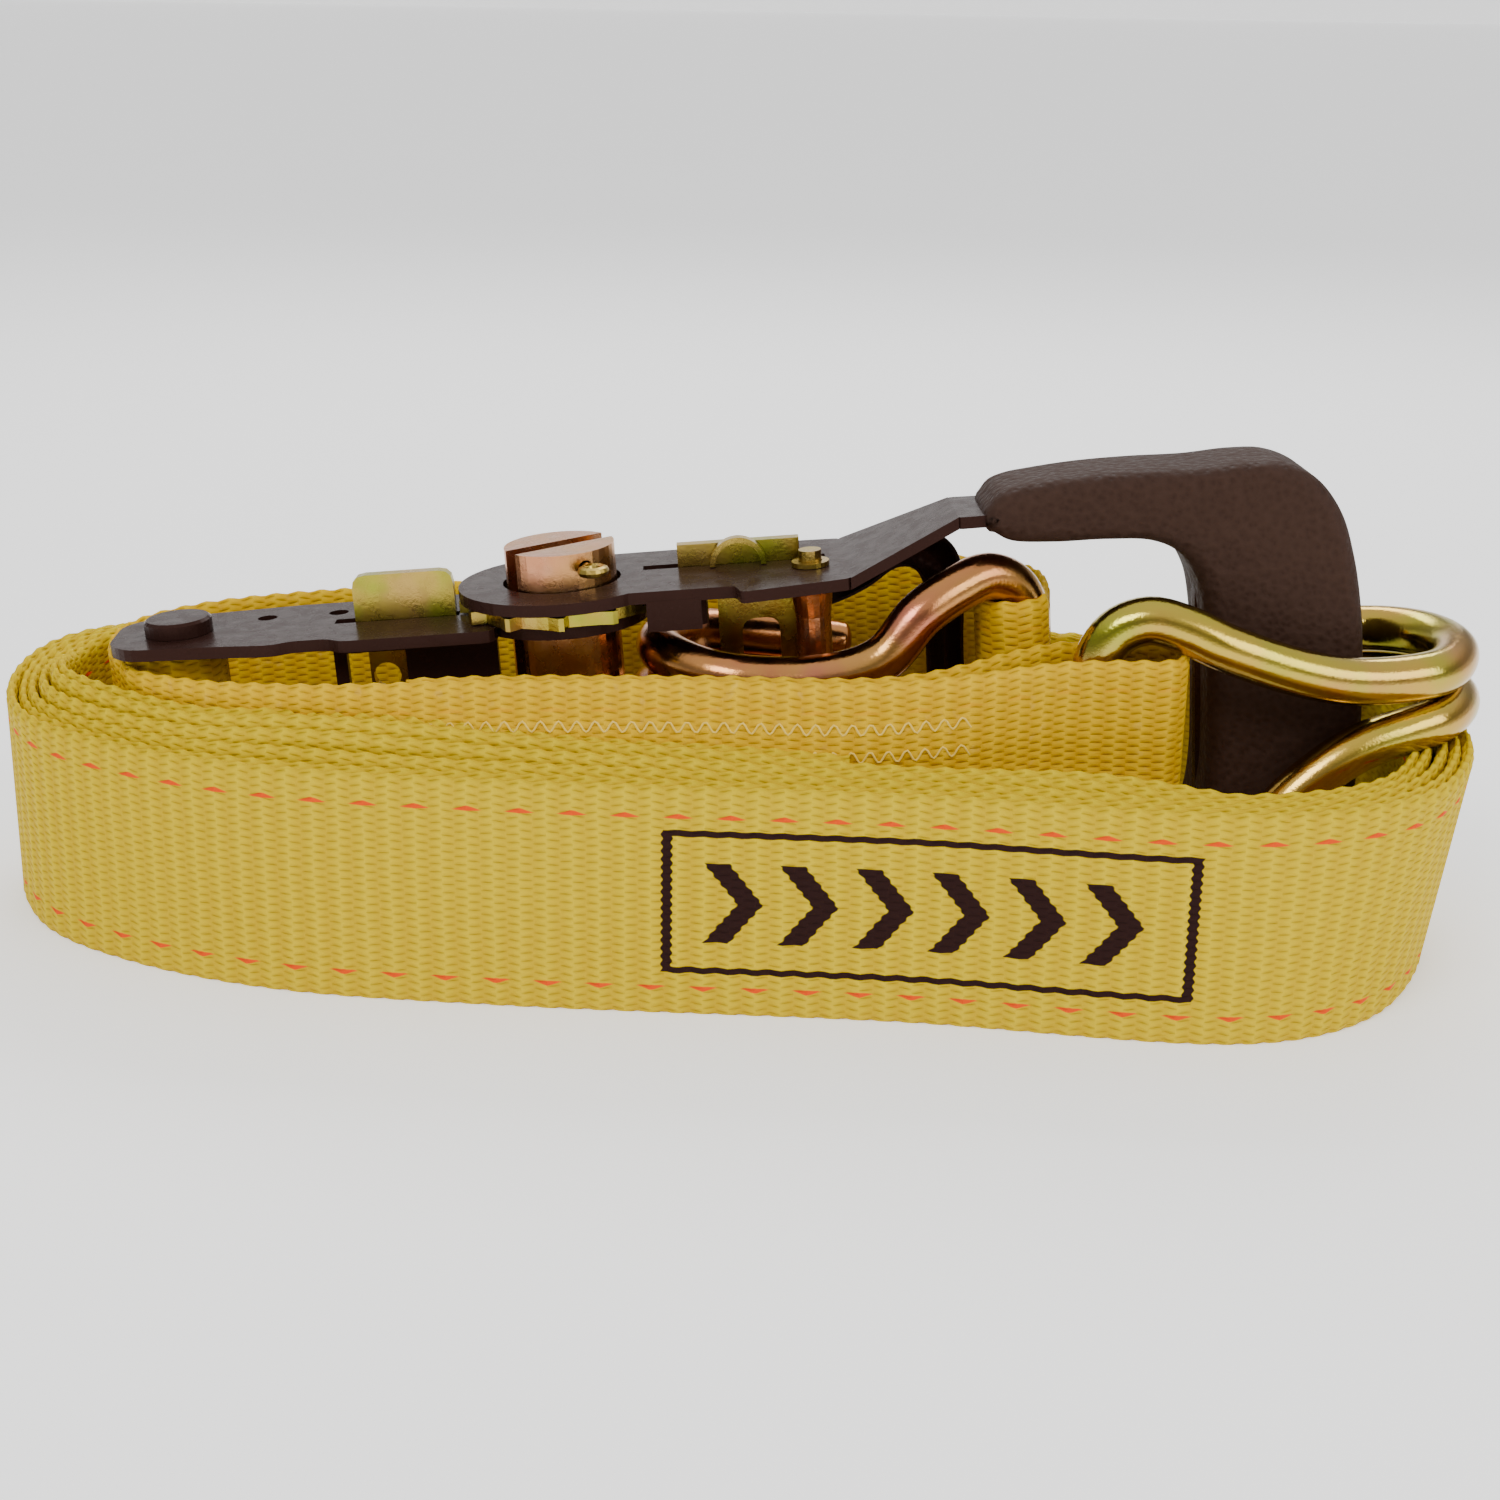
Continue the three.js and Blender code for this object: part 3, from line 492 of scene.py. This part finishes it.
def tube(name, points, radius, material, body, sides, count):
    """A round wire through the points, with domed ends."""
    line = smooth_line(points, count)
    frames = []
    normal = (line[1] - line[0]).normalized().orthogonal().normalized()
    for i, point in enumerate(line):
        tangent = (line[min(i + 1, count - 1)] - line[max(i - 1, 0)]).normalized()
        normal = (normal - tangent * normal.dot(tangent)).normalized()
        frames.append((point, tangent, normal, tangent.cross(normal)))
    first, last = frames[0], frames[-1]
    dome = [(math.sin(a), 0.45 * math.cos(a)) for a in (math.radians(x) for x in (12, 35, 60, 80))]
    rings = [(first[0] - first[1] * radius * out, radius * share, first) for share, out in dome]
    rings += [(f[0], radius, f) for f in frames]
    rings += [(last[0] + last[1] * radius * out, radius * share, last) for share, out in reversed(dome)]
    verts = []
    for centre, r, (_, _, across, up) in rings:
        for k in range(sides):
            a = 2 * math.pi * k / sides
            verts.append(centre + (across * math.cos(a) + up * math.sin(a)) * r)
    return piece(name, verts, skin(len(rings), sides), material, body)


def smoothstep(x, low, high):
    t = min(1.0, max(0.0, (x - low) / (high - low)))
    return t * t * (3 - 2 * t)


def round_end(centre, radii, start, stop, count=9):
    """Points on an oval arc, angles in degrees."""
    out = []
    for i in range(count):
        a = math.radians(start + (stop - start) * i / (count - 1))
        out.append((centre[0] + radii[0] * math.cos(a), centre[1] + radii[1] * math.sin(a)))
    return out


# ---- the buckle's frame --------------------------------------------------------------------------

BUCKLE_X, BUCKLE_Y, BUCKLE_Z = -38.9, -1.1, 45.9
TILT, YAW = math.radians(4.6), math.radians(2)
BUCKLE_MATRIX = (Matrix.Translation(Vector((BUCKLE_X, BUCKLE_Y, BUCKLE_Z)) * MM)
                 @ Matrix.Rotation(YAW, 4, "Z") @ Matrix.Rotation(-TILT, 4, "Y"))


def at_buckle(x, y, z):
    """A point (mm) of the buckle's own frame, in the bundle."""
    return BUCKLE_MATRIX @ Vector((x * MM, y * MM, z * MM))


def in_buckle(x, y):
    """A place seen from above, in the buckle's own x and y (mm)."""
    dx, dy = (x - BUCKLE_X) / math.cos(TILT), y - BUCKLE_Y
    return dx * math.cos(YAW) + dy * math.sin(YAW), dy * math.cos(YAW) - dx * math.sin(YAW)


# ---- the wound coil ------------------------------------------------------------------------------

# outer edge of the coil seen from above (mm)
OUTLINE = [
    (105, -61.5), (137, -47.5), (155, -20), (160, 9), (149, 43), (118, 58), (60, 61), (-30, 61),
    (-112, 60.5), (-148, 55), (-164, 40), (-168, 20), (-160, -4), (-146, -21), (-126, -33.5), (-97, -43),
    (-51, -48.7), (30, -53.6),
]
OUTER_END = Vector((20, 61, 0)) * MM     # the webbing's free end, at the back
TURNS = 5.55
WALL, PRESS = 15.6, 4.6                  # thickness of all the turns, and how much of it is pressed away
PLY_SHARE = 0.153                        # one turn's share of the wall
MARK_FROM, MARK_TO = -18, 90.5           # x of the mark's two ends


def coil_wall(x, y):
    """The coil is pressed thinner where it passes the corner of the buckle's frame."""
    return WALL - PRESS * smoothstep(-x, 95, 125) * smoothstep(-y, -20, 10)


def coil_inset(x, y, turn):
    """How far (mm) a turn lies inside the outline. Inner turns waver, and the right end is looser."""
    wall = coil_wall(x, y)
    waver = 0.35 * math.sin(turn * 23 + x * 0.021) * smoothstep(turn, 0.8, 1.6)
    inset = wall * (turn - 0.55) / 5.62 + 1.25 + waver * wall / WALL
    return inset + 2.2 * smoothstep(x, 110, 160) - 2.6 * smoothstep(-x, 135, 165)


def coil_lift(x, y, turn):
    """How far (mm) a turn stands off the ground: the back is raised, and the inner turns climb."""
    behind = smoothstep(y, 5, 50) * (1 - smoothstep(x, 70, 140) * 0.8)
    inner = smoothstep(turn, 0.9, 5.2)
    lift = behind * (3.4 + 0.7 * turn)
    lift += inner * 8.0 * smoothstep(-y, -55, 5) * (1 - smoothstep(x, -110, 20)) * (1 - behind)
    lift += inner * 3.0 * smoothstep(-y, 20, 45) * smoothstep(x, -130, -20) * (1 - smoothstep(x, 60, 110))
    lift += inner * 0.6 * math.sin(turn * 31 + x * 0.04)
    return max(0.0, lift - 2.2 * smoothstep(x, 90, 155))


def coil_path():
    """The spiral from its outer end, at the back, round and round to its inner end."""
    n = 720
    loop = smooth_line([Vector((x, y, 0)) * MM for x, y in OUTLINE], n, closed=True)
    start = min(range(n), key=lambda i: (loop[i] - OUTER_END).length)
    rough = []
    for k in range(int(n * TURNS)):
        i, turn = (start + k) % n, k / n
        tangent = (loop[(i + 1) % n] - loop[i - 1]).normalized()
        inward = Vector((-tangent.y, tangent.x, 0))
        x, y = loop[i].x / MM, loop[i].y / MM
        # the right end leans outwards
        up = Vector((7 * smoothstep(x, 90, 155) / WEB * MM, 0, 1)).normalized()
        middle = Vector((0, 0, WEB * up.z / 2 + coil_lift(x, y, turn) * MM))
        rough.append((loop[i] + inward * coil_inset(x, y, turn) * MM + middle, up))
    return respace(rough)


coil_line = coil_path()
coil_run = running_lengths([p for p, _ in coil_line])
first_turn = 640                         # points in about one turn of the coil
coil_front = [(i, p) for i, (p, _) in enumerate(coil_line[:first_turn]) if p.y < -30 * MM]


def u_near(x):
    """How far along the strap the front of its outermost turn passes x (mm)."""
    return coil_run[min(coil_front, key=lambda item: abs(item[1].x - x * MM))[0]]


coil_web = webbing_material("webbing_yellow", *YELLOW, print_span=(u_near(MARK_FROM), u_near(MARK_TO)))
coil_gauges = [PLY_SHARE * coil_wall(p.x / MM, p.y / MM) * MM for p, _ in coil_line]
coil, coil_length = ribbon("coil_webbing", coil_line, coil_web, coil_gauges)
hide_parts("strap_coil")

# ---- the long strap's sewn end -------------------------------------------------------------------

# each hook's loop bar and size (mm), and its turns in degrees about the upright and then the cross axis;
# the short hook stays 0.6 mm shorter than in the CAD, so that its tip clears the mandrel at every pose
LONG_HOOK = {"bar": (76, -18.2, 44.3), "tilt": -7.8, "turn": 10.5, "reach": 64.5, "lift": 5.4, "way": 1}
SHORT_HOOK = {"bar": (57.5, -0.6, 49.6), "tilt": 8, "turn": 12, "reach": 56.4, "lift": 0, "way": -1}

FRONT_PLY = [
    (-139, -3), (-133, -13.5), (-119, -21.5), (-100, -27), (-84, -30.2), (-51, -33.6), (-10, -35.2),
    (24, -35.4), (44, -33), (56, -29.6), (66, -27.2), (80, -26.2),
]
BACK_PLY = [
    (66, -12), (56, -17), (46, -24), (36, -29.3), (24, -31.9), (-10, -32.2), (-51, -30.6), (-72, -28.8),
]


def upright_path(points, place=None):
    """A path for upright webbing through points in mm, moved by a matrix if one is given."""
    line = smooth_line([Vector(p) * MM for p in points], 700)
    up = Vector((0, 0, 1))
    if place:
        line = [place @ p for p in line]
        up = (place.to_3x3() @ up).normalized()
    return respace([(p, up) for p in line])


def tail_height(x):
    """The middle of the sewn end climbs out of the coil to the hook."""
    return 37.0 + 6.0 * smoothstep(x, -130, -20) + 3.2 * smoothstep(x, 20, 75)


tail_loop = round_end((84.4, -18.9), (7.4, 7.3), -80, 80)
tail_points = [*FRONT_PLY, *tail_loop, (76, -11.5), *BACK_PLY]
tail_line = upright_path([(x, y, tail_height(x)) for x, y in tail_points])
plain_web = webbing_material("webbing_amber", *AMBER, worn=0.06, tracer=0.12)
tail, tail_length = ribbon("sewn_end_webbing", tail_line, plain_web, [WEB_GAUGE] * len(tail_line))
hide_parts("strap_hook_end")

STITCH_STEP, THREAD_R = 1.9, 0.24 * MM
STITCH_FROM, STITCH_TO = -72, 46
STITCH_ROWS = [(8, 10.4), (14, 16.4)]    # lower and upper points of each row, over the webbing's middle


def stitch_row(name, heights):
    """One zigzag row of thread over the front ply."""
    ply = [p for p, _ in tail_line[:len(tail_line) // 2] if p.y < -26 * MM]
    points = []
    x = STITCH_FROM
    while x < STITCH_TO:
        near = min(ply, key=lambda p: abs(p.x - x * MM))
        height = heights[len(points) % 2]
        points.append(Vector((x * MM, near.y - 1.1 * MM, near.z + height * MM)))
        x += STITCH_STEP
    tube(name, points, THREAD_R, THREAD, "bundle", sides=8, count=len(points) * 4)


# ---- the short strap -----------------------------------------------------------------------------

SHORT_ROUTE = [
    (-133, -9), (-138.4, -2), (-141.6, 8), (-142, 18), (-138, 28), (-128, 36), (-112, 40.4),
    (-70, 41.6), (0, 41.8), (32, 41.2), (50, 37.5), (61, 30), (66.4, 19), (66.8, 8),
]
hook_x, hook_y = in_buckle(*SHORT_HOOK["bar"][:2])
anchor_turn = round_end((-84.4, 0), (8.4, 8.4), 165, -95, 14)
hook_turn = [(hook_x + 8.0, hook_y + 2), *round_end((hook_x + 1.0, hook_y), (7.2, 6.9), -20, -330, 13)]
short_points = [*anchor_turn, *[in_buckle(x, y) for x, y in SHORT_ROUTE], *hook_turn]
short_line = upright_path([(x, y, 0) for x, y in short_points], place=BUCKLE_MATRIX)
short, short_length = ribbon("short_strap_webbing", short_line, plain_web, [WEB_GAUGE] * len(short_line))
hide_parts("short_strap")

# ---- hooks ---------------------------------------------------------------------------------------

HOOK_BEND_R, HOOK_SHANK_Y, HOOK_CLOSE_Z = 21.5, -8, 5.4


def hook_line(reach, lift, way):
    """The wire's middle line (mm) in the hook's own frame: half of it and its mirror image."""
    middle = HOOK_SHANK_Y + HOOK_BEND_R
    half = [(reach - 25, middle + HOOK_BEND_R - 1, HOOK_CLOSE_Z),
            (reach - 13, middle + HOOK_BEND_R + 0.2, HOOK_CLOSE_Z)]
    for a in (math.radians(x) for x in (60, 20, -20, -60)):
        bend = (reach + HOOK_BEND_R * math.cos(a), middle + HOOK_BEND_R * math.sin(a), HOOK_CLOSE_Z)
        half.append(bend)
    half += [(reach - 9, HOOK_SHANK_Y, HOOK_CLOSE_Z + 2.2), (reach - 22, HOOK_SHANK_Y, 13),
             (27, HOOK_SHANK_Y + 1, 23.6), (19, -4.6, 29.6), (12, -2.4, 32.5), (5.5, -0.9, 30.8),
             (1.2, -0.2, 25.6), (0, 0, 20), (0, 0, 10)]
    up = [(way * x, y, lift * smoothstep(x, 12, 55) + z) for x, y, z in half]
    down = [(way * x, y, lift * smoothstep(x, 12, 55) - z) for x, y, z in reversed(half)]
    return [Vector(p) * MM for p in up + down]


def hook(name, shape, material, body):
    """A double-J wire hook on its bar."""
    place = (Matrix.Translation(Vector(shape["bar"]) * MM)
             @ Matrix.Rotation(math.radians(shape["turn"]), 4, "Z")
             @ Matrix.Rotation(math.radians(shape["tilt"]), 4, "Y"))
    points = [place @ p for p in hook_line(shape["reach"], shape["lift"], shape["way"])]
    return tube(name, points, WIRE_R, material, body, sides=28, count=260)


long_hook = hook("long_hook_wire", LONG_HOOK, HOOK_GOLD, "long_hook")
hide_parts("hook_long_strap")
short_hook = hook("short_hook_wire", SHORT_HOOK, PINK_GOLD, "short_hook")
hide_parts("hook_short_strap")

# ---- the grip and the release bail ---------------------------------------------------------------

# upper halves of the outlines, in x and z (mm) of the buckle's frame
GRIP_OUTER = [
    (92.8, 46.4), (94.6, 48.5), (98, 49.8), (104, 50.6), (114, 51.4), (126, 51.6), (138, 51.4),
    (148, 51.9), (156, 51.2), (163, 47.4), (168.4, 40), (171.4, 30), (173.2, 18), (173.8, 6),
]
GRIP_INNER = [
    (93.6, 40.4), (97, 38.4), (106, 37.4), (118, 37.2), (127.6, 36.2), (133.6, 33), (137.2, 27),
    (138.8, 18), (139.2, 6),
]
BAIL_OUTER = [
    (46, 29.6), (58, 30.4), (64, 31.6), (70, 33.6), (76, 36.8), (80, 38.2), (85, 36), (88, 31), (88, 10),
]
BAIL_INNER = [(79.5, 10), (79.5, 26), (77.6, 29.6), (74, 30.2), (67, 26), (58, 22.6), (46, 21.6)]


def with_mirror(half):
    """A half outline and, after it, its mirror image below."""
    return [*half, *[(x, -z) for x, z in reversed(half)]]


def slab(name, outline, y0, y1, material, body, edge, count=300):
    """A closed outline in x and z (mm) of the buckle's frame, given a thickness in y and rounded edges."""
    line = smooth_line([Vector((x, 0, z)) for x, z in outline], count, closed=True)
    area = sum(a.x * b.z - b.x * a.z for a, b in zip(line, [*line[1:], line[0]]))
    way = 1 if area > 0 else -1
    inward = []
    for i in range(count):
        tangent = (line[(i + 1) % count] - line[i - 1]).normalized()
        inward.append(Vector((-tangent.z, 0, tangent.x)) * way)
    arc = [math.radians(x) for x in (0, 20, 40, 60, 75, 90)]
    profile = [(edge * (1 - math.sin(a)), y0 + edge * (1 - math.cos(a))) for a in arc]
    profile += [(edge * (1 - math.sin(a)), y1 - edge * (1 - math.cos(a))) for a in reversed(arc)]
    verts = []
    for inset, y in profile:
        for p, n in zip(line, inward):
            verts.append(at_buckle(*(p + n * inset + Vector((0, y, 0)))))
    obj = piece(name, verts, skin(len(profile), count, turn_caps=True), material, body)
    # the caps are not convex, so they are cut into triangles
    bm = bmesh.new()
    bm.from_mesh(obj.data)
    bmesh.ops.triangulate(bm, faces=[f for f in bm.faces if len(f.verts) > 4])
    bm.to_mesh(obj.data)
    bm.free()
    return obj


def u_loft(name, outer, inner, y0, y1, material, body, edge, count=260):
    """A U-shaped bar between an outer and an inner line (mm, buckle's x and z), its long edges rounded."""
    outer_line, inner_line = [smooth_line([Vector((x, 0, z)) for x, z in with_mirror(half)], count)
                              for half in (outer, inner)]
    arc = [math.radians(x) for x in (0, 18, 36, 54, 72, 90)]
    section = [(edge * (1 - math.cos(a)), y0 + edge * (1 - math.sin(a))) for a in reversed(arc)]
    section += [(edge * (1 - math.cos(a)), y1 - edge * (1 - math.sin(a))) for a in arc]
    # each ring: its outer and inner point, and how much of its width and of its depth is left
    rings = [(a, b, 1.0, 1.0) for a, b in zip(outer_line, inner_line)]
    round_off = [(0.0, 0.34), (0.35, 0.62), (0.8, 0.85), (1.5, 0.97)]
    round_length = 1.7
    for end, near in ((0, 1), (-1, -2)):
        a, b = outer_line[end], inner_line[end]
        away = ((a - outer_line[near]) + (b - inner_line[near])).normalized()
        cap = []
        for back, left in round_off:
            out = away * (round_length - back)
            cap.append((a + out, b + out, left, 1 - (1 - left) * 0.35))
        rings = [*cap, *rings] if end == 0 else [*rings, *cap[::-1]]
    middle_y = (y0 + y1) / 2
    verts = []
    for a, b, wide, deep in rings:
        middle, reach = (a + b) / 2, (b - a).length / 2
        direction = (b - a).normalized()
        for side, half in ((-1, section), (1, section[::-1])):
            for inset, y in half:
                place = middle + direction * side * (reach - inset) * wide
                verts.append(at_buckle(*(place + Vector((0, middle_y + (y - middle_y) * deep, 0)))))
    return piece(name, verts, skin(len(rings), 2 * len(section), turn_caps=True), material, body)


grip = u_loft("moulded_grip", GRIP_OUTER, GRIP_INNER, -12, 12, LEATHER, "handle", edge=4.2)
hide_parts("grip_cover")

bail_outline = [*with_mirror(BAIL_OUTER), *[(x, -z) for x, z in reversed(BAIL_INNER)], *BAIL_INNER]
bail = slab("release_bail", bail_outline, 6.5, 8.9, BLACK, "driving_pawl", edge=0.9)
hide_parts("drive_pawl_pull")

for row, heights in enumerate(STITCH_ROWS):
    stitch_row(f"sewn_end_stitch_{row}", heights)

# ---- carried-over CAD nodes ----------------------------------------------------------------------

FINISH = {
    "frame_plate_upper": BLACK, "frame_plate_lower": BLACK, "anchor_bolt": BLACK, "anchor_sleeve": BLACK,
    "anchor_nut": BLACK, "frame_bridge": BLACK, "frame_pawl": GOLD, "frame_pawl_spring": GOLD,
    "handle_plate_upper": BLACK, "handle_plate_lower": BLACK, "handle_bolt": GOLD, "handle_sleeve": COPPER,
    "handle_washer_upper": GOLD, "handle_washer_lower": GOLD, "pawl_guide_upper": BLACK,
    "pawl_guide_lower": BLACK, "grip_core_bar": BLACK, "grip_cover": LEATHER, "drive_pawl": GOLD,
    "drive_pawl_pull": BLACK, "pawl_spring_loop_upper": GOLD, "pawl_spring_loop_lower": GOLD,
    "mandrel_half_front": COPPER, "mandrel_half_rear": COPPER, "ratchet_wheel_upper": GOLD,
    "ratchet_wheel_lower": GOLD, "split_pin_upper": GOLD, "split_pin_lower": GOLD,
    "hook_long_strap": HOOK_GOLD, "hook_short_strap": PINK_GOLD, "strap_hook_end": plain_web,
    "short_strap": plain_web, "strap_coil": coil_web,
}
BEVELS = {
    "frame_plate": 0.45, "handle_plate": 0.45, "ratchet_wheel": 0.35, "mandrel_half": 0.8,
    "frame_pawl": 0.4, "drive_pawl": 0.4, "anchor_bolt": 0.5, "handle_bolt": 0.5,
}
OTHER_BEVEL = 0.3
for name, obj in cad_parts.items():
    obj.data.materials.clear()
    obj.data.materials.append(FINISH[name])
    bevel = obj.modifiers.new("edges", "BEVEL")
    bevel.width = next((w for start, w in BEVELS.items() if name.startswith(start)), OTHER_BEVEL) * MM
    bevel.segments = 2
    bevel.limit_method = "ANGLE"
    bevel.angle_limit = math.radians(40)
    bevel.harden_normals = True
    obj.data.polygons.foreach_set("use_smooth", [True] * len(obj.data.polygons))
